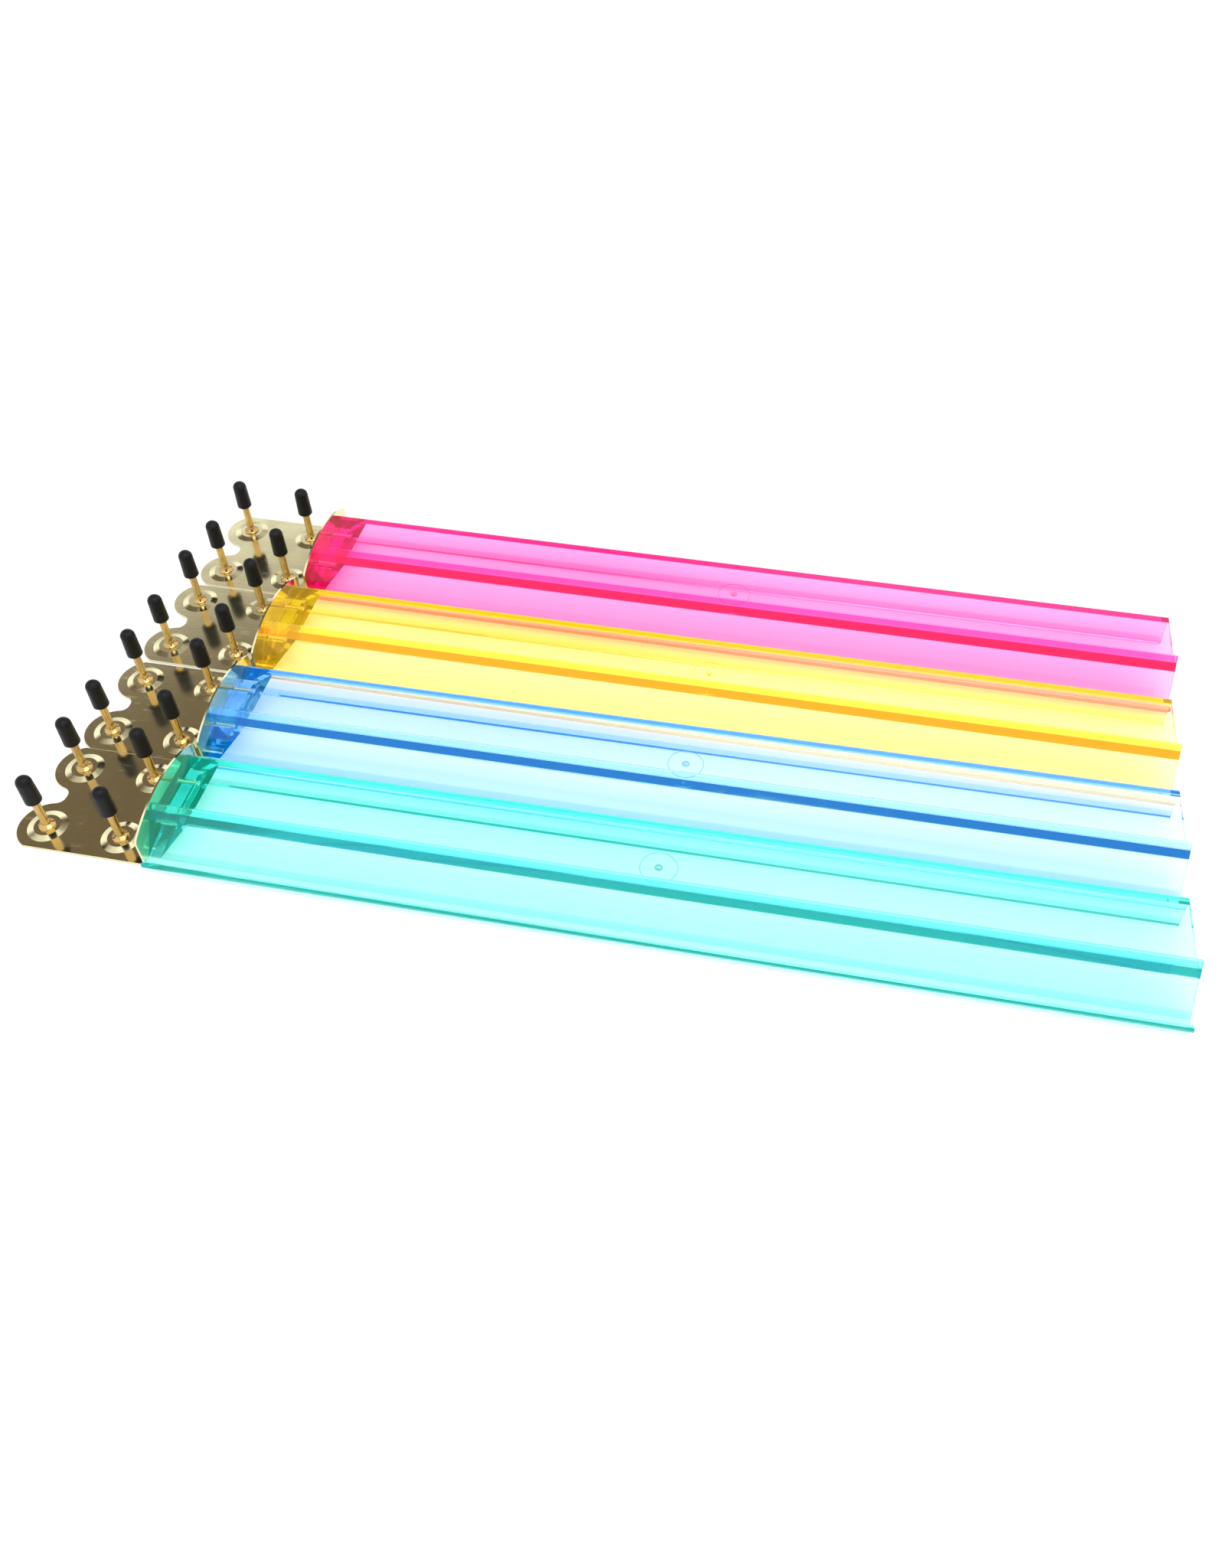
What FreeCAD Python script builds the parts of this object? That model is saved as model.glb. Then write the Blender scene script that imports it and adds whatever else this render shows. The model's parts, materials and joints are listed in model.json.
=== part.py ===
import FreeCAD, Part
import os

import Sketcher

# A set of four moulded acrylic tile racks standing one behind the other on a table.
# Each rack has a folded brass end bracket with four upright coin posts, and each post wears
# a pull-off rubber cap.
#
# Every rack is drawn in a frame of its own: x runs along the rack from the face that its
# bracket is screwed to, y runs from the tip of its front ledge to its back, and z runs up
# from the table. The set's own origin is the middle of its footprint, at table level.

doc = FreeCAD.newDocument("TileRacks")

# ---------------------------------------------------------------- driving dimensions (mm, degrees)

SIZES = {
    "rack moulding": {
        "rack_length": 460,
        "rack_depth": 60,
        "acrylic_wall": 3,
        "deck_height": 16.8,
        "lip_height": 22.8,
        "wall_angle": 55,
        "wall_foot": 5.5,
        "ledge_seat": 1.2,
        "ledge_depth": 6.8,
        "ledge_wall": 2.6,
        "leg_lean": 3,
        "nose_round": 1.2,
        "lip_round": 0.6,
        "back_round": 2.5,
        "inside_round": 1.3,
        "foot_round": 0.5,
        "block_foot": 5,
        "block_reach": 17,
    },
    "moulding gate on the deck": {
        "gate_along": 234,
        "gate_back": 32.5,
        "gate_ring_radius": 8.2,
        "gate_ring_width": 0.35,
        "gate_ring_deep": 0.15,
        "gate_dimple_radius": 1.9,
        "gate_nub_radius": 1,
        "gate_nub_proud": 0.25,
    },
    "brass end bracket": {
        "bracket_width": 63.2,
        "bracket_middle": 34.6,
        "brass_sheet": 1,
        "plate_shoulder": 16.5,
        "plate_peak": 24.7,
        "plate_corner_round": 3,
        "bend_round": 0.7,
        "lobe_radius": 14.2,
        "notch_fullness": 0.97,
        "boss_radius": 9.5,
        "boss_top_radius": 6.3,
        "boss_height": 0.8,
    },
    "coin posts": {
        "post_pitch": 37.5,
        "post_inset": 18.4,
        "post_diameter": 4,
        "post_height": 31,
        "post_chamfer": 0.4,
        "tail_diameter": 3,
        "peen_diameter": 5.6,
        "peen_height": 0.6,
        "bead_diameter": 7.8,
        "bead_height": 1.3,
        "bead_round": 0.45,
        "flare_diameter": 5.6,
        "flare_height": 0.9,
    },
    "rubber caps": {
        "cap_rim_diameter": 8,
        "cap_crown_diameter": 7.3,
        "cap_length": 16.3,
        "cap_grip": 12,
        "cap_bevel": 0.8,
        "cap_crown_round": 3.4,
    },
    "bracket screws": {
        "screw_spread": 21,
        "screw_rise": 9.5,
        "screw_core_diameter": 2.2,
        "screw_thread_diameter": 3,
        "screw_thread_pitch": 1,
        "screw_head_diameter": 6,
        "screw_head_height": 1.6,
        "screw_head_edge": 0.8,
        "screw_slot_width": 0.8,
        "screw_slot_depth": 0.7,
    },
    "clearances": {
        "screw_clearance": 0.05,
        "screw_hole_clearance": 0.2,
        "post_clearance": 0.05,
        "cap_clearance": 0.05,
        "cap_headroom": 0.1,
    },
    "how the racks stand": {
        "teal_right": 0,
        "teal_turn": 0,
        "blue_right": 2,
        "blue_gap": 3.7,
        "blue_turn": -0.14,
        "yellow_right": 3.7,
        "yellow_gap": 4.9,
        "yellow_turn": -0.61,
        "pink_right": 7.9,
        "pink_gap": 4.6,
        "pink_turn": -0.86,
    },
    "middle of the footprint": {
        "middle_right": 0,
        "middle_back": 0,
    },
}

RACKS = ("teal", "blue", "yellow", "pink")
THREADS = 9

sheet = doc.addObject("Spreadsheet::Sheet", "Dims")
row = 1
for heading, cells in SIZES.items():
    sheet.set(f"A{row}", heading)
    row += 1
    for alias, value in cells.items():
        sheet.set(f"A{row}", alias)
        sheet.set(f"B{row}", str(value))
        sheet.setAlias(f"B{row}", alias)
        row += 1
doc.recompute()


def worth(formula):
    """The number that a formula over the sheet gives now."""
    return float(sheet.evalExpression(str(formula)))


# ---------------------------------------------------------------- derived formulas, in a rack's frame

WALL = "Dims.acrylic_wall"
SIN = "sin(Dims.wall_angle * 1 deg)"
COS = "cos(Dims.wall_angle * 1 deg)"
TAN = "tan(Dims.wall_angle * 1 deg)"
DECK = "Dims.deck_height"
UNDER_DECK = f"({DECK} - {WALL})"
LEG_SLOPE = f"(Dims.leg_lean / {DECK})"

BRACKET_FRONT = "(Dims.bracket_middle - Dims.bracket_width / 2)"
SHEET = "Dims.brass_sheet"
BOSS_TOP = f"({SHEET} + Dims.boss_height)"
OUTER_POSTS = "(Dims.post_inset + Dims.post_pitch)"
POST_SPOTS = {
    "front_left": (f"-{OUTER_POSTS}", "Dims.bracket_middle - Dims.post_pitch / 2"),
    "back_left": (f"-{OUTER_POSTS}", "Dims.bracket_middle + Dims.post_pitch / 2"),
    "front_right": ("-Dims.post_inset", "Dims.bracket_middle - Dims.post_pitch / 2"),
    "back_right": ("-Dims.post_inset", "Dims.bracket_middle + Dims.post_pitch / 2"),
}
SCREW_SPOTS = {
    "front": "Dims.bracket_middle - Dims.screw_spread / 2",
    "back": "Dims.bracket_middle + Dims.screw_spread / 2",
}
THREAD_LENGTH = f"({THREADS} * Dims.screw_thread_pitch)"
SCREW_REACH = f"({THREAD_LENGTH} + Dims.screw_thread_pitch)"
BORE_RADIUS = "(Dims.screw_thread_diameter / 2 + Dims.screw_clearance)"


def wall_front(height):
    """How far back the tile wall's front face is at a height."""
    return f"(Dims.wall_foot + {height} / {TAN})"


def wall_rear(height):
    return f"({wall_front(height)} + {WALL} / {SIN})"


def leg_outside(height):
    """How far back the rear leg's outer face is at a height."""
    return f"(Dims.rack_depth - Dims.leg_lean + {height} * {LEG_SLOPE})"


def leg_inside(height):
    return f"({leg_outside(height)} - {WALL})"


# ---------------------------------------------------------------- small builders

def bind(thing, **formulas):
    """Ties properties to the sheet; a double underscore stands for a dot."""
    for name, formula in formulas.items():
        thing.setExpression(name.replace("__", "."), str(formula))


def move(thing, x=0, y=0, z=0):
    bind(thing, Placement__Base__x=x, Placement__Base__y=y, Placement__Base__z=z)


def box(name, size, corner=(0, 0, 0)):
    made = doc.addObject("Part::Box", name)
    bind(made, Length=size[0], Width=size[1], Height=size[2])
    move(made, *corner)
    return made


def cylinder(name, radius, height, foot=(0, 0, 0), along_x=False):
    made = doc.addObject("Part::Cylinder", name)
    if along_x:
        made.Placement.Rotation = FreeCAD.Rotation(FreeCAD.Vector(0, 1, 0), 90)
    bind(made, Radius=radius, Height=height)
    move(made, *foot)
    return made


def cone(name, low_radius, high_radius, height, foot=(0, 0, 0)):
    made = doc.addObject("Part::Cone", name)
    bind(made, Radius1=low_radius, Radius2=high_radius, Height=height)
    move(made, *foot)
    return made


def fuse(name, pieces):
    made = doc.addObject("Part::MultiFuse", name)
    made.Shapes = pieces
    return made


def common(name, pieces):
    made = doc.addObject("Part::MultiCommon", name)
    made.Shapes = pieces
    return made


def cut(name, base, tool):
    made = doc.addObject("Part::Cut", name)
    made.Base = base
    made.Tool = tool
    return made


def group(name, pieces):
    made = doc.addObject("Part::Compound", name)
    made.Links = pieces
    return made


def sketch(body, name, plane, corners):
    """A closed outline of straight sides, every corner held by two formulas."""
    made = body.newObject("Sketcher::SketchObject", name)
    planes = [item for item in body.Origin.OriginFeatures if item.Role == plane]
    made.AttachmentSupport = [(planes[0], "")]
    made.MapMode = "FlatFace"
    spots = [(worth(across), worth(up)) for across, up in corners]
    count = len(corners)
    for index, (start, end) in enumerate(zip(spots, spots[1:] + spots[:1])):
        made.addGeometry(Part.LineSegment(FreeCAD.Vector(*start, 0), FreeCAD.Vector(*end, 0)))
    for index in range(count):
        made.addConstraint(Sketcher.Constraint("Coincident", index, 2, (index + 1) % count, 1))
    for index, (formulas, spot) in enumerate(zip(corners, spots)):
        for kind, formula, value in zip(("DistanceX", "DistanceY"), formulas, spot):
            number = made.addConstraint(Sketcher.Constraint(kind, -1, 1, index, 1, value))
            made.setExpression(f"Constraints[{number}]", str(formula))
    return made


def turned(name, corners):
    """A round piece: an outline in the XZ plane, spun about its own upright axis."""
    body = doc.addObject("PartDesign::Body", name)
    outline = sketch(body, f"{name}_outline", "XZ_Plane", corners)
    spin = body.newObject("PartDesign::Revolution", f"{name}_spin")
    spin.Profile = outline
    spin.ReferenceAxis = (outline, ["V_Axis"])
    spin.Angle = 360
    doc.recompute()
    return body


def round_edges(body, name, radius, wanted):
    """Rounds the edges of a body's last feature that a test picks out."""
    doc.recompute()
    last = body.Tip
    edges = [f"Edge{index}" for index, edge in enumerate(last.Shape.Edges, 1) if wanted(edge)]
    rounded = body.newObject("PartDesign::Fillet", name)
    rounded.Base = (last, edges)
    bind(rounded, Radius=radius)
    body.Tip = rounded
    return rounded


def fillet(name, base, radius, wanted):
    """Rounds the edges of a boolean's result that a test picks out."""
    doc.recompute()
    made = doc.addObject("Part::Fillet", name)
    made.Base = base
    size = worth(radius)
    made.Edges = [
        (index, size, size) for index, edge in enumerate(base.Shape.Edges, 1) if wanted(edge)
    ]
    return made


def along_x(across, up):
    """A test for the straight edges that run along x through a point of the section."""
    y, z = worth(across), worth(up)

    def passes(edge):
        ends = [vertex.Point for vertex in edge.Vertexes]
        return all(abs(end.y - y) < 0.001 and abs(end.z - z) < 0.001 for end in ends)

    return passes


def through(x=None, y=None, z=None):
    """A test for the edges whose middle and ends all keep the given coordinates."""
    wanted = {"x": x, "y": y, "z": z}

    def passes(edge):
        points = [vertex.Point for vertex in edge.Vertexes] + [edge.CenterOfMass]
        return all(
            abs(getattr(point, axis) - value) < 0.001
            for axis, value in wanted.items()
            if value is not None
            for point in points
        )

    return passes


NODES = []


def stands_back(rack):
    """How far back a rack stands: past each rack in front of it, and the gap behind that one."""
    behind_front = RACKS[1:RACKS.index(rack) + 1]
    return " + ".join(["0"] + [f"Dims.rack_depth + Dims.{other}_gap" for other in behind_front])


def finish(thing, label, rack, x=0, y=0, z=0):
    """Names a sub-part and stands it in the set, at a place given in its rack's frame."""
    turn = f"(Dims.{rack}_turn * 1 deg)"
    upright = FreeCAD.Vector(0, 0, 1)
    thing.Label = label
    thing.Placement = FreeCAD.Placement(FreeCAD.Vector(), FreeCAD.Rotation(upright, worth(turn)))
    move(
        thing,
        f"({x}) * cos({turn}) - ({y}) * sin({turn}) + Dims.{rack}_right - Dims.middle_right",
        f"({x}) * sin({turn}) + ({y}) * cos({turn}) + {stands_back(rack)} - Dims.middle_back",
        z,
    )
    bind(thing, Placement__Rotation__Angle=turn)
    NODES.append(thing)


# ---------------------------------------------------------------- the acrylic moulding

def rack_channel(rack):
    """The moulding's section, padded along the rack: ledge, tile wall, deck and rear leg."""
    seat = "Dims.ledge_seat"
    nose_top = (
        f"{wall_front(seat)} - Dims.ledge_depth * {SIN}",
        f"{seat} + Dims.ledge_depth * {COS}",
    )
    nose_low = (
        f"{nose_top[0]} - Dims.ledge_wall * {COS}",
        f"{nose_top[1]} - Dims.ledge_wall * {SIN}",
    )
    ledge_lands = f"{nose_low[0]} + ({nose_low[1]}) * {TAN}"
    lip = "Dims.lip_height"
    lip_rear = (f"{wall_front(lip)} + {WALL} * {SIN}", f"{lip} - {WALL} * {COS}")
    corners = [
        (ledge_lands, 0),
        nose_low,
        nose_top,
        (wall_front(seat), seat),
        (wall_front(lip), lip),
        lip_rear,
        (wall_rear(DECK), DECK),
        ("Dims.rack_depth", DECK),
        (leg_outside(0), 0),
        (leg_inside(0), 0),
        (leg_inside(UNDER_DECK), UNDER_DECK),
        (wall_rear(UNDER_DECK), UNDER_DECK),
        (wall_rear(0), 0),
    ]
    rounds = {
        "nose": ("Dims.nose_round", [nose_low, nose_top]),
        "lip": ("Dims.lip_round", [corners[4], lip_rear]),
        "back": ("Dims.back_round", [corners[7]]),
        "inside": ("Dims.inside_round", [corners[3], corners[6], corners[10], corners[11]]),
        "foot": ("Dims.foot_round", [corners[0], corners[8], corners[9], corners[12]]),
    }
    body = doc.addObject("PartDesign::Body", f"{rack}_channel")
    section = sketch(body, f"{rack}_section", "YZ_Plane", corners)
    pad = body.newObject("PartDesign::Pad", f"{rack}_pad")
    pad.Profile = section
    bind(pad, Length="Dims.rack_length")
    for place, (radius, spots) in rounds.items():
        tests = [along_x(*spot) for spot in spots]
        round_edges(
            body, f"{rack}_{place}_round", radius, lambda edge: any(test(edge) for test in tests)
        )
    return body


def end_block(rack):
    """The solid end that takes the screws, sloped on its inner side like a gusset."""
    half = f"({WALL} / 2)"
    middle = f"({DECK} - {half})"
    across = doc.addObject("PartDesign::Body", f"{rack}_block_across")
    outline = sketch(across, f"{rack}_block_section", "YZ_Plane", [
        (f"{wall_rear(0)} - {half} / {SIN}", 0),
        (f"{wall_rear(middle)} - {half} / {SIN}", middle),
        (f"{leg_inside(middle)} + {half}", middle),
        (f"{leg_inside(0)} + {half}", 0),
    ])
    pad = across.newObject("PartDesign::Pad", f"{rack}_block_pad")
    pad.Profile = outline
    bind(pad, Length="Dims.block_reach")
    slope = doc.addObject("PartDesign::Body", f"{rack}_block_slope")
    profile = sketch(slope, f"{rack}_slope_section", "XZ_Plane", [
        (0, 0),
        ("Dims.block_foot", 0),
        ("Dims.block_reach", UNDER_DECK),
        ("Dims.block_reach", middle),
        (0, middle),
    ])
    width = slope.newObject("PartDesign::Pad", f"{rack}_slope_pad")
    width.Profile = profile
    width.Reversed = True
    bind(width, Length="Dims.rack_depth")
    return common(f"{rack}_block", [across, slope])


def rack_body(rack):
    solid = fuse(f"{rack}_moulding", [rack_channel(rack), end_block(rack)])
    bores = [
        cylinder(
            f"{rack}_{side}_bore",
            BORE_RADIUS,
            f"{SCREW_REACH} + Dims.screw_thread_pitch",
            (0, y, "Dims.screw_rise"),
            along_x=True,
        )
        for side, y in SCREW_SPOTS.items()
    ]
    spot = ("Dims.gate_along", "Dims.gate_back")
    dimple = cylinder(
        f"{rack}_gate_dimple",
        "Dims.gate_dimple_radius",
        "Dims.gate_ring_deep",
        (*spot, f"{DECK} - Dims.gate_ring_deep"),
    )
    ring = cut(
        f"{rack}_gate_ring",
        cylinder(
            f"{rack}_gate_ring_outside",
            "Dims.gate_ring_radius + Dims.gate_ring_width",
            "Dims.gate_ring_deep",
            (*spot, f"{DECK} - Dims.gate_ring_deep"),
        ),
        cylinder(
            f"{rack}_gate_ring_inside",
            "Dims.gate_ring_radius",
            "Dims.gate_ring_deep",
            (*spot, f"{DECK} - Dims.gate_ring_deep"),
        ),
    )
    hollowed = cut(f"{rack}_bored", solid, fuse(f"{rack}_hollows", [*bores, dimple, ring]))
    nub = cone(
        f"{rack}_gate_nub",
        "Dims.gate_nub_radius",
        "Dims.gate_nub_radius / 2",
        "Dims.gate_nub_proud + 2 * Dims.gate_ring_deep",
        (*spot, f"{DECK} - 2 * Dims.gate_ring_deep"),
    )
    finish(fuse(f"{rack}_body", [hollowed, nub]), f"{rack}_rack_body", rack)


# ---------------------------------------------------------------- the brass end bracket

def bracket_foot(rack):
    """The foot plate: two round lobes at its free end with a notch between them."""
    lobes = [
        cylinder(f"{rack}_{spot}_lobe", "Dims.lobe_radius", SHEET, POST_SPOTS[spot])
        for spot in ("front_left", "back_left")
    ]
    slab = box(
        f"{rack}_foot_slab",
        (OUTER_POSTS, "Dims.bracket_width", SHEET),
        (f"-{OUTER_POSTS}", BRACKET_FRONT, 0),
    )
    trim = box(
        f"{rack}_foot_trim",
        (f"{OUTER_POSTS} + 2 * Dims.lobe_radius", "Dims.bracket_width", SHEET),
        (f"-{OUTER_POSTS} - 2 * Dims.lobe_radius", BRACKET_FRONT, 0),
    )
    outline = common(f"{rack}_foot_outline", [fuse(f"{rack}_foot_blank", [slab, *lobes]), trim])
    root = worth(f"-{OUTER_POSTS}")
    half_gap = worth("Dims.post_pitch / 2 - Dims.lobe_radius")
    middle = worth("Dims.bracket_middle")
    corners = [through(x=root, y=middle + side * half_gap) for side in (-1, 1)]
    notch_round = "(Dims.post_pitch / 2 - Dims.lobe_radius) * Dims.notch_fullness"
    return fillet(
        f"{rack}_foot_plate", outline, notch_round, lambda edge: any(test(edge) for test in corners)
    )


def bracket_plate(rack):
    """The upright plate, arched along its top edge above the rack's end."""
    half = "(Dims.bracket_width / 2)"
    rise = "(Dims.plate_peak - Dims.plate_shoulder)"
    arch_radius = f"(({half} * {half} + {rise} * {rise}) / (2 * {rise}))"
    slab = box(
        f"{rack}_plate_slab",
        (SHEET, "Dims.bracket_width", "Dims.plate_peak"),
        (f"-{SHEET}", BRACKET_FRONT, 0),
    )
    arch = cylinder(
        f"{rack}_plate_arch",
        arch_radius,
        SHEET,
        (f"-{SHEET}", "Dims.bracket_middle", f"Dims.plate_peak - {arch_radius}"),
        along_x=True,
    )
    shaped = common(f"{rack}_plate_blank", [slab, arch])
    ends = [worth(f"{BRACKET_FRONT} + {step}") for step in (0, "Dims.bracket_width")]
    shoulder = worth("Dims.plate_shoulder")
    corners = [through(y=end, z=shoulder) for end in ends]
    return fillet(
        f"{rack}_plate", shaped, "Dims.plate_corner_round",
        lambda edge: any(test(edge) for test in corners),
    )


def end_bracket(rack):
    bosses = []
    hollows = []
    slope = "((Dims.boss_radius - Dims.boss_top_radius) / Dims.boss_height)"
    for spot, (x, y) in POST_SPOTS.items():
        bosses.append(cone(
            f"{rack}_{spot}_boss", "Dims.boss_radius", "Dims.boss_top_radius",
            "Dims.boss_height", (x, y, SHEET),
        ))
        hollows.append(cone(
            f"{rack}_{spot}_boss_hollow",
            f"Dims.boss_radius - {SHEET} / 2", f"Dims.boss_top_radius - {SHEET} / 2",
            "Dims.boss_height", (x, y, 0),
        ))
        hollows.append(cylinder(
            f"{rack}_{spot}_hole", "Dims.tail_diameter / 2 + Dims.post_clearance",
            f"{BOSS_TOP} + {SHEET}", (x, y, 0),
        ))
    for side, y in SCREW_SPOTS.items():
        hollows.append(cylinder(
            f"{rack}_{side}_screw_hole", "Dims.screw_thread_diameter / 2 + Dims.screw_hole_clearance",
            SHEET, (f"-{SHEET}", y, "Dims.screw_rise"), along_x=True,
        ))
    blank = fuse(f"{rack}_bracket_blank", [bracket_foot(rack), bracket_plate(rack), *bosses])
    drilled = cut(f"{rack}_bracket_drilled", blank, fuse(f"{rack}_bracket_hollows", hollows))
    thick = worth(SHEET)
    inner = fillet(f"{rack}_bend_inner", drilled, "Dims.bend_round", through(x=-thick, z=thick))
    outer = fillet(f"{rack}_bend", inner, f"Dims.bend_round + {SHEET}", through(x=0, z=0))
    finish(outer, f"{rack}_end_bracket", rack)


# ---------------------------------------------------------------- screws, posts and caps

def screw(name):
    """A slotted pan-head screw, point up, standing on the plane of its head's bearing face."""
    core = "Dims.screw_core_diameter / 2"
    crest = "Dims.screw_thread_diameter / 2"
    pitch = "Dims.screw_thread_pitch"
    corners = [
        (0, "-Dims.screw_head_height"),
        ("Dims.screw_head_diameter / 4", "-Dims.screw_head_height"),
        ("Dims.screw_head_diameter / 2", "-Dims.screw_head_edge"),
        ("Dims.screw_head_diameter / 2", 0),
        (core, 0),
        (core, SHEET),
    ]
    for turn in range(THREADS):
        corners.append((crest, f"{SHEET} + ({turn} + 0.5) * {pitch}"))
        corners.append((core, f"{SHEET} + ({turn} + 1) * {pitch}"))
    corners.append((0, f"{SHEET} + {SCREW_REACH}"))
    slot = box(
        f"{name}_slot",
        ("Dims.screw_head_diameter", "Dims.screw_slot_width", "Dims.screw_slot_depth"),
        (
            "-Dims.screw_head_diameter / 2",
            "-Dims.screw_slot_width / 2",
            "-Dims.screw_head_height",
        ),
    )
    return cut(name, turned(f"{name}_blank", corners), slot)


def bracket_screws(rack):
    """Both screws run along x, heads against the plate's outer face."""
    screws = []
    for side, y in SCREW_SPOTS.items():
        made = screw(f"{rack}_{side}_screw")
        made.Placement.Rotation = FreeCAD.Rotation(FreeCAD.Vector(0, 1, 0), 90)
        move(made, f"-{SHEET}", y, "Dims.screw_rise")
        screws.append(made)
    finish(group(f"{rack}_screws", screws), f"{rack}_bracket_screws", rack)


def post(rack, spot):
    """A coin post turned in one piece.

    Its shaft flares into a bead that sits on the boss, and its tail passes through the foot
    plate and is peened over beneath.
    """
    radius = "Dims.post_diameter / 2"
    tail = "Dims.tail_diameter / 2"
    peen = "Dims.peen_diameter / 2"
    bead = "Dims.bead_diameter / 2"
    bead_edge = f"{bead} - Dims.bead_round"
    flare = "Dims.flare_diameter / 2"
    seat = "Dims.boss_height"
    bead_top = f"{BOSS_TOP} + Dims.bead_height"
    corners = [
        (0, f"{seat} - Dims.peen_height"),
        (tail, f"{seat} - Dims.peen_height"),
        (peen, f"{seat} - Dims.peen_height / 3"),
        (peen, seat),
        (tail, seat),
        (tail, BOSS_TOP),
        (bead_edge, BOSS_TOP),
        (bead, f"{BOSS_TOP} + Dims.bead_height / 4"),
        (bead, f"{BOSS_TOP} + Dims.bead_height / 2"),
        (bead_edge, f"{BOSS_TOP} + Dims.bead_height * 3 / 4"),
        (flare, bead_top),
        (f"{radius} * 3 / 4 + {flare} / 4", f"{bead_top} + Dims.flare_height / 3"),
        (radius, f"{bead_top} + Dims.flare_height"),
        (radius, "Dims.post_height - Dims.post_chamfer"),
        (f"{radius} - Dims.post_chamfer", "Dims.post_height"),
        (0, "Dims.post_height"),
    ]
    made = turned(f"{rack}_{spot}_post_rod", corners)
    finish(made, f"{rack}_post_{spot}", rack, *POST_SPOTS[spot])


def rubber_cap(rack, spot):
    """A blind rubber sleeve with a domed crown, which pulls straight up off its post."""
    bore = "Dims.post_diameter / 2 + Dims.cap_clearance"
    rim = "Dims.cap_rim_diameter / 2"
    crown = "Dims.cap_crown_diameter / 2"
    corners = [
        (bore, 0),
        (f"{rim} - Dims.cap_bevel", 0),
        (rim, "Dims.cap_bevel"),
        (crown, "Dims.cap_length"),
        (0, "Dims.cap_length"),
        (0, "Dims.cap_grip"),
        (bore, "Dims.cap_grip"),
    ]
    made = turned(f"{rack}_{spot}_cap_sleeve", corners)
    crown_radius = worth(crown)
    top = worth("Dims.cap_length")

    def crown_edge(edge):
        circle = edge.Curve
        return (
            isinstance(circle, Part.Circle)
            and abs(circle.Radius - crown_radius) < 0.001
            and abs(circle.Center.z - top) < 0.001
        )

    round_edges(made, f"{rack}_{spot}_cap_dome", "Dims.cap_crown_round", crown_edge)
    rest = "Dims.post_height + Dims.cap_headroom - Dims.cap_grip"
    finish(made, f"{rack}_cap_{spot}", rack, *POST_SPOTS[spot], rest)


# ---------------------------------------------------------------- the set

for colour in RACKS:
    rack_body(colour)
    end_bracket(colour)
    bracket_screws(colour)
    for spot_name in POST_SPOTS:
        post(colour, spot_name)
        rubber_cap(colour, spot_name)
doc.recompute()

footprint = FreeCAD.BoundBox()
for node in NODES:
    footprint.add(node.Shape.optimalBoundingBox(False))
sheet.set(sheet.getCellFromAlias("middle_right"), str(footprint.Center.x))
sheet.set(sheet.getCellFromAlias("middle_back"), str(footprint.Center.y))
doc.recompute()

# ---------------------------------------------------------------- check and write

for thing in doc.Objects:
    if "Invalid" in thing.State or "Error" in thing.State:
        raise RuntimeError(f"{thing.Label} failed: {thing.State}")
for node in NODES:
    if node.Shape.isNull() or not node.Shape.isValid():
        raise RuntimeError(f"{node.Label} has no valid shape")

os.makedirs("parts", exist_ok=True)
for node in NODES:
    node.Shape.exportStep(f"parts/{node.Label}.step")
    print(f"{node.Label}: {len(node.Shape.Solids)} solids, {node.Shape.Volume:.1f} mm3")
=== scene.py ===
import json
import math

import bpy
from mathutils import Euler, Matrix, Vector

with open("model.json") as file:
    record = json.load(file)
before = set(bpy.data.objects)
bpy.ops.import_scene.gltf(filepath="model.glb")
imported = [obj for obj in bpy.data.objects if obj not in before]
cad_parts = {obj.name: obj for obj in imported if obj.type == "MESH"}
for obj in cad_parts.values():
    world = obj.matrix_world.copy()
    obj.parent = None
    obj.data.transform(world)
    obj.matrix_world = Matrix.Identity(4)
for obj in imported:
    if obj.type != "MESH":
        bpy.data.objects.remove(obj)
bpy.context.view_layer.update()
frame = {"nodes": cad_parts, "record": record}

scene = bpy.context.scene
scene.view_settings.view_transform = "Standard"


# ---------------------------------------------------------------- shader sums

class Sum:
    """A socket that Python sums can be done on. Each sum adds its Math node."""

    def __init__(self, maker, socket):
        self.maker = maker
        self.socket = socket

    def sum(self, operation, *values):
        return self.maker.node("ShaderNodeMath", {"operation": operation}, dict(enumerate(values)))

    def __add__(self, other):
        return self.sum("ADD", self, other)

    def __sub__(self, other):
        return self.sum("SUBTRACT", self, other)

    def __mul__(self, other):
        return self.sum("MULTIPLY", self, other)

    def __rsub__(self, other):
        return self.sum("SUBTRACT", other, self)

    __radd__ = __add__
    __rmul__ = __mul__

    def between(self, low, high):
        """0 at low, 1 at high, and smooth between them."""
        return self.maker.node(
            "ShaderNodeMapRange",
            {"interpolation_type": "SMOOTHSTEP"},
            {"Value": self, "From Min": low, "From Max": high},
        )


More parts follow.
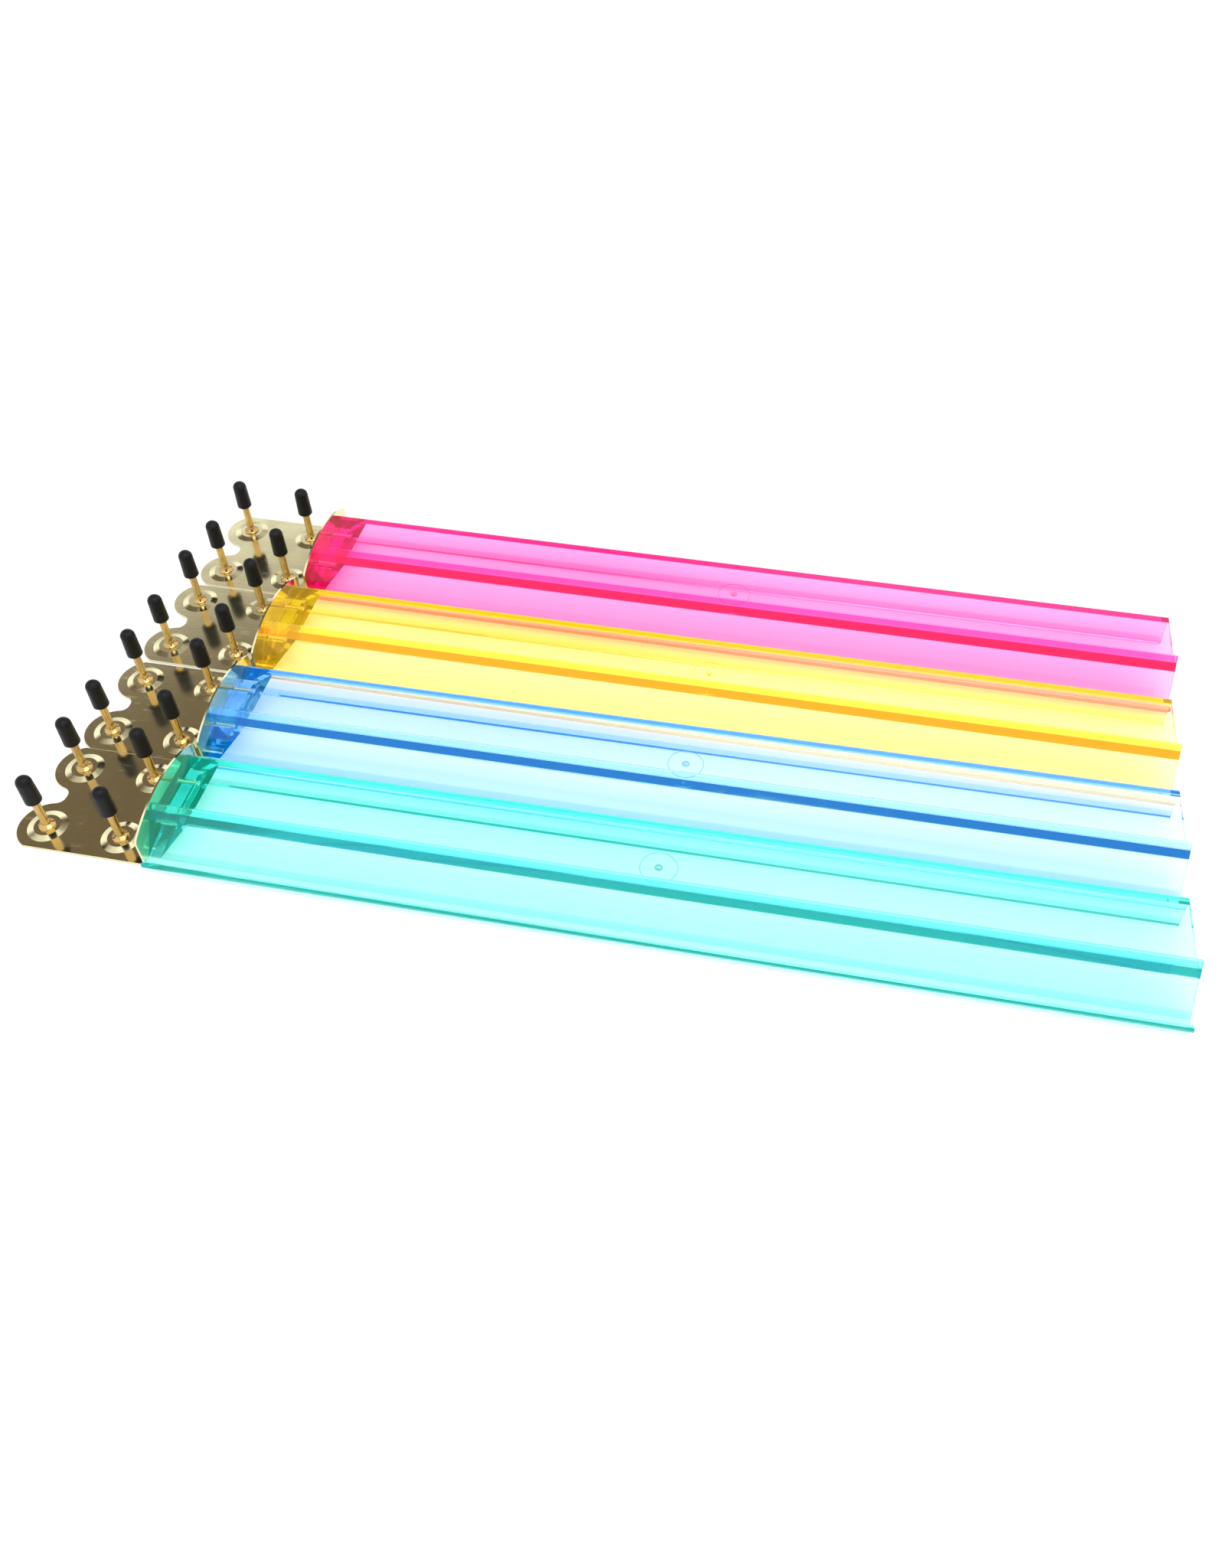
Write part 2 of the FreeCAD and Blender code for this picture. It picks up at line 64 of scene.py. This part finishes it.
class Finish:
    """A material, or the studio's surround, and the nodes that make it."""

    def __init__(self, tree):
        self.tree = tree
        tree.nodes.clear()

    def node(self, kind, settings=None, values=None, out=0):
        """Adds a node: its settings first, a ramp's stops among them, then its sockets."""
        made = self.tree.nodes.new(kind)
        for name, value in (settings or {}).items():
            if name == "stops":
                for element, (place, colour) in zip(made.color_ramp.elements, value):
                    element.position = place
                    element.color = (*colour, 1)
            else:
                setattr(made, name, value)
        for name, value in (values or {}).items():
            if isinstance(value, Sum):
                self.tree.links.new(value.socket, made.inputs[name])
            else:
                made.inputs[name].default_value = value
        return Sum(self, made.outputs[out]) if made.outputs else None

    def part(self, axis, vector):
        """The X, Y or Z of a vector."""
        return self.node("ShaderNodeSeparateXYZ", None, {"Vector": vector}, out=axis)

    def ramp(self, value, stops):
        """A colour that changes with a value, between two (place, colour) stops."""
        return self.node("ShaderNodeValToRGB", {"stops": stops}, {"Fac": value})

    def mixed(self, share, first, second, blend="MIX"):
        """The first colour where share is 0, and the second, or their product, where it is 1.

        The node's colour sockets share their names with others, so they go by number.
        """
        first, second = (c if isinstance(c, Sum) else (*c, 1) for c in (first, second))
        settings = {"data_type": "RGBA", "blend_type": blend}
        return self.node("ShaderNodeMix", settings, {0: share, 6: first, 7: second}, out=2)

    def noise(self, scale, detail, stretch=(1, 1, 1), roughness=0.5):
        """Cloudy unevenness. A stretch below 1 draws it out along that axis."""
        place = self.node("ShaderNodeTexCoord", out="Object")
        placed = self.node("ShaderNodeMapping", None, {"Vector": place, "Scale": stretch})
        return self.node(
            "ShaderNodeTexNoise",
            None,
            {"Vector": placed, "Scale": scale, "Detail": detail, "Roughness": roughness},
        )

    def bump(self, height, strength, distance):
        return self.node(
            "ShaderNodeBump", None, {"Height": height, "Strength": strength, "Distance": distance}
        )

    def shaded(self, surface, volume=None):
        """Ends a material with its surface and, for a clear one, its inside."""
        values = {"Surface": surface}
        if volume:
            values["Volume"] = volume
        self.node("ShaderNodeOutputMaterial", None, values)


def new_finish(name):
    made = bpy.data.materials.new(name)
    made.use_nodes = True
    return made, Finish(made.node_tree)


# ---------------------------------------------------------------- finishes

# Heights above the table in metres. Each pair is where a band of painted glow, painted tint or
# painted shade up the moulding starts and ends.
DECK_TOP = 0.0168
LIP_STARTS = (DECK_TOP - 0.0006, DECK_TOP + 0.0001)
LIP_UPPER_HALF = (DECK_TOP + 0.0030, DECK_TOP + 0.0036)
ABOVE_NOSE = (0.0040, 0.0055)
GATE_FLOOR = (DECK_TOP - 0.00025, DECK_TOP - 0.00020)
ABOVE_GATE_FLOOR = (DECK_TOP - 0.00010, DECK_TOP - 0.00004)

# The painted glow's strength at the nose and the painted shade's strength on the gate's floor,
# where the lip's painted glow is 1, and how much of the painted glow shows all over.
NOSE_SHARE = 0.45
GATE_SHADE_SHARE = 0.8
GLOW_SHARE = 0.11


def painted_piped_light(f):
    """Masks for painted light: where a painted glow stands in for light piped along the moulding,
    and where painted shade darkens the floor of the moulding gate.

    Gives three masks: the lower front of the raised lip with the ledge's nose, which gets a
    painted glow and a painted tint, the lip's upper front, which gets a painted tint, and the
    floor of the gate's ring and dimple, which gets painted shade.
    """
    height = f.part("Z", f.node("ShaderNodeTexCoord", out="Object"))
    normal = f.node("ShaderNodeNewGeometry", out="True Normal")
    outside = 1 - f.node("ShaderNodeNewGeometry", out="Backfacing")
    ahead = (0 - f.part("Y", normal)).between(0.3, 0.6) * outside
    upward = f.part("Z", normal).between(0.95, 0.99)
    lip = height.between(*LIP_STARTS)
    upper = height.between(*LIP_UPPER_HALF)
    nose = (1 - height.between(*ABOVE_NOSE)) * NOSE_SHARE
    gate = height.between(*GATE_FLOOR) * (1 - height.between(*ABOVE_GATE_FLOOR)) * upward
    return ahead * (lip * (1 - upper) + nose), ahead * upper, gate


def tinted_acrylic(name, taken, glow, painted_deep_tint, edge_light, painted_lip_top_tint):
    """Clear moulded acrylic. taken is what each metre of it takes from red, green and blue.

    The glow is painted light: an emission that stands in for the light that the moulding pipes
    along inside itself, to its edges and ends. The lip's lower front and the nose glow with the
    painted edge light and take the painted deep tint, the gate's recess floor takes that tint as
    painted shade, and the lip's upper front takes its own painted tint.
    """
    made, f = new_finish(name)
    painted_band, painted_lip_top, gate = painted_piped_light(f)
    # Painted colour: a deep tint over the painted glow band, painted shade on the gate's floor,
    # and a painted tint on the lip's upper front.
    base_with_painted_tints = f.mixed(painted_band + GATE_SHADE_SHARE * gate, (1, 1, 1), painted_deep_tint)
    base_with_painted_tints = f.mixed(painted_lip_top, base_with_painted_tints, painted_lip_top_tint, "MULTIPLY")
    ripple = f.noise(26, 2, (0.25, 1, 1))
    handled = f.noise(140, 4)
    clear = f.node(
        "ShaderNodeBsdfPrincipled",
        None,
        {
            "Base Color": base_with_painted_tints,
            "Roughness": 0.012 + 0.04 * handled.between(0.55, 0.8),
            "IOR": 1.41,
            "Transmission Weight": 1.0,
            # Painted glow: the acrylic emits a faint share of its glow all over, and the painted
            # edge light on the lip's lower front and the nose.
            "Emission Color": f.mixed(painted_band, [GLOW_SHARE * c for c in glow], edge_light),
            "Emission Strength": 1.0,
            "Normal": f.bump(ripple, 0.08, 0.0005),
        },
    )
    lamp_tint = (*[0.6 + 0.4 * c for c in glow], 1)
    lamp_light = f.node("ShaderNodeBsdfTransparent", None, {"Color": lamp_tint})
    shadow = f.node("ShaderNodeLightPath", out="Is Shadow Ray")
    surface = f.node("ShaderNodeMixShader", None, {0: shadow, 1: clear, 2: lamp_light})
    densest = max(taken)
    tint = (*[1 - part / densest for part in taken], 1)
    inside = f.node("ShaderNodeVolumeAbsorption", None, {"Color": tint, "Density": densest})
    f.shaded(surface, inside)
    return made


def polished_brass(name, colour, rough, wear, marks):
    """Bright brass with fine hairlines. wear darkens it in clouds, and marks dull it in smears."""
    made, f = new_finish(name)
    hairlines = f.noise(900, 2, (0.05, 1, 1))
    cloud = f.noise(60, 4)
    smear = f.noise(230, 5, (0.35, 1, 1), 0.7).between(0.56, 0.72) * marks
    worn = f.mixed(cloud.between(0.35, 0.7) * wear, colour, [c * 0.72 for c in colour])
    surface = f.node(
        "ShaderNodeBsdfPrincipled",
        None,
        {
            "Base Color": worn,
            "Metallic": 1.0,
            "Roughness": rough + 0.05 * cloud.between(0.4, 0.75) + 0.12 * smear,
            "Normal": f.bump(hairlines, 0.05, 0.0002),
        },
    )
    f.shaded(surface)
    return made


def black_rubber(name):
    """Soft satin rubber with a fine moulded grain."""
    made, f = new_finish(name)
    grain = f.noise(2600, 3)
    dust = f.noise(420, 4)
    tone = f.ramp(dust, [(0.35, (0.002, 0.002, 0.003)), (0.75, (0.005, 0.005, 0.007))])
    surface = f.node(
        "ShaderNodeBsdfPrincipled",
        None,
        {
            "Base Color": tone,
            "Roughness": 0.34 + 0.12 * dust.between(0.3, 0.7),
            "Specular IOR Level": 0.22,
            "Normal": f.bump(grain, 0.1, 0.0002),
        },
    )
    f.shaded(surface)
    return made


# The acrylics' glow and edge light are painted emission, and their deep and lip-top tints are
# painted colour. Both stand in for light piped along the moulding.
FINISHES = {
    "teal_acrylic": tinted_acrylic(
        "teal acrylic",
        taken=(82, 13, 16),
        glow=(0.0, 0.72, 0.60),
        painted_deep_tint=(0.0005, 0.10, 0.09),
        edge_light=(0.0, 0.20, 0.19),
        painted_lip_top_tint=(0.16, 1.0, 0.9),
    ),
    "blue_acrylic": tinted_acrylic(
        "blue acrylic",
        taken=(39, 18, 5),
        glow=(0.0, 0.34, 0.95),
        painted_deep_tint=(0.02, 0.36, 0.2),
        edge_light=(0.0, 0.10, 0.38),
        painted_lip_top_tint=(0.5, 0.85, 1.0),
    ),
    "yellow_acrylic": tinted_acrylic(
        "yellow acrylic",
        taken=(15, 20, 118),
        glow=(1.0, 0.62, 0.0),
        painted_deep_tint=(0.95, 0.7, 0.08),
        edge_light=(0.55, 0.24, 0.0),
        painted_lip_top_tint=(1.0, 0.82, 0.05),
    ),
    "pink_acrylic": tinted_acrylic(
        "pink acrylic",
        taken=(4, 126, 32),
        glow=(1.0, 0.01, 0.22),
        painted_deep_tint=(0.95, 0.15, 0.5),
        edge_light=(0.60, 0.0, 0.06),
        painted_lip_top_tint=(0.95, 0.08, 0.45),
    ),
    "brass_sheet": polished_brass(
        "polished brass sheet", (0.87, 0.81, 0.51), rough=0.10, wear=0.5, marks=1.0
    ),
    "post_brass": polished_brass(
        "turned brass", (0.62, 0.42, 0.17), rough=0.10, wear=0.6, marks=0.3
    ),
    "screw_brass": polished_brass(
        "screw brass", (0.84, 0.68, 0.36), rough=0.14, wear=0.5, marks=0.3
    ),
    "cap_rubber": black_rubber("black rubber"),
}

for piece in frame["record"]["subparts"]:
    mesh = frame["nodes"][piece["node"]].data
    mesh.materials.clear()
    mesh.materials.append(FINISHES[piece["material_slot"]])


# ---------------------------------------------------------------- studio

FLOOR_REACH = 3.0
FLOOR_DROP = 0.0002

SURROUND_STRENGTH = 1.24
PALE = (1.0, 1.0, 1.0)
HIGH_PATCH = (0.145, 0.112, 0.08)
LOW_SIDES = (0.2, 0.19, 0.16)

CAMERA_LENS = 36.381
CAMERA_PLACE = (0.08472, -0.42639, 0.44997)
CAMERA_TURN = (41.3774, 0.754, 11.1745)


def white_paper():
    """Matt white paper, slightly uneven in tone."""
    made, f = new_finish("white paper")
    tone = f.ramp(f.noise(3, 2), [(0.3, (0.93, 0.93, 0.93)), (0.8, (0.96, 0.96, 0.96))])
    surface = f.node(
        "ShaderNodeBsdfPrincipled",
        None,
        {"Base Color": tone, "Roughness": 0.9, "Specular IOR Level": 0.1},
    )
    f.shaded(surface)
    return made


def paper_floor():
    """A sheet of white paper, a hair below the racks so that no faces coincide."""
    far = FLOOR_REACH
    corners = [(-far, -far, 0), (far, -far, 0), (far, far, 0), (-far, far, 0)]
    mesh = bpy.data.meshes.new("paper floor")
    mesh.from_pydata(corners, [], [(0, 1, 2, 3)])
    mesh.materials.append(white_paper())
    floor = bpy.data.objects.new("paper floor", mesh)
    scene.collection.objects.link(floor)
    floor.location.z = -FLOOR_DROP


def surround():
    """Pale all round, with a dark patch high at the back left, and darker low down.

    The low parts are at the back left and at the right. The polished brass reflects all three.
    """
    world = bpy.data.worlds.new("studio surround")
    scene.world = world
    world.use_nodes = True
    f = Finish(world.node_tree)
    way = f.node("ShaderNodeTexCoord", out="Generated")
    side, back, up = (f.part(axis, way) for axis in "XYZ")
    high = up.between(0.53, 0.66) * (1 - up.between(0.88, 0.95))
    high_left = high * back.between(0.0, 0.25) * (1 - side.between(-0.2, 0.05))
    low_left = (1 - up.between(0.08, 0.42)) * (back * 0.7 - side * 0.7).between(0.0, 0.5)
    low_right = (1 - up.between(0.05, 0.35)) * side.between(0.1, 0.6)
    tone = f.mixed(high_left, PALE, HIGH_PATCH)
    tone = f.mixed(0.7 * low_left + 0.5 * low_right, tone, LOW_SIDES)
    light = f.node("ShaderNodeBackground", None, {"Color": tone, "Strength": SURROUND_STRENGTH})
    f.node("ShaderNodeOutputWorld", None, {"Surface": light})


def softbox(name, place, target, size, power):
    """A rectangular studio light that faces its target."""
    lamp = bpy.data.lights.new(name, "AREA")
    lamp.shape = "RECTANGLE"
    lamp.size, lamp.size_y = size
    lamp.energy = power
    box = bpy.data.objects.new(name, lamp)
    scene.collection.objects.link(box)
    box.location = place
    box.rotation_euler = (Vector(target) - Vector(place)).to_track_quat("-Z", "Y").to_euler()


def camera():
    """Above the front and a little to the right, looking down on all four racks."""
    view = bpy.data.cameras.new("camera")
    view.sensor_fit = "HORIZONTAL"
    view.sensor_width = 36
    view.lens = CAMERA_LENS
    view.clip_start = 0.01
    view.clip_end = 20
    eye = bpy.data.objects.new("camera", view)
    scene.collection.objects.link(eye)
    eye.location = CAMERA_PLACE
    eye.rotation_euler = Euler([math.radians(angle) for angle in CAMERA_TURN], "XYZ")
    scene.camera = eye


paper_floor()
surround()
softbox("overhead softbox", place=(0.1, -0.2, 1.4), target=(0, 0, 0), size=(0.9, 0.9), power=5)
camera()
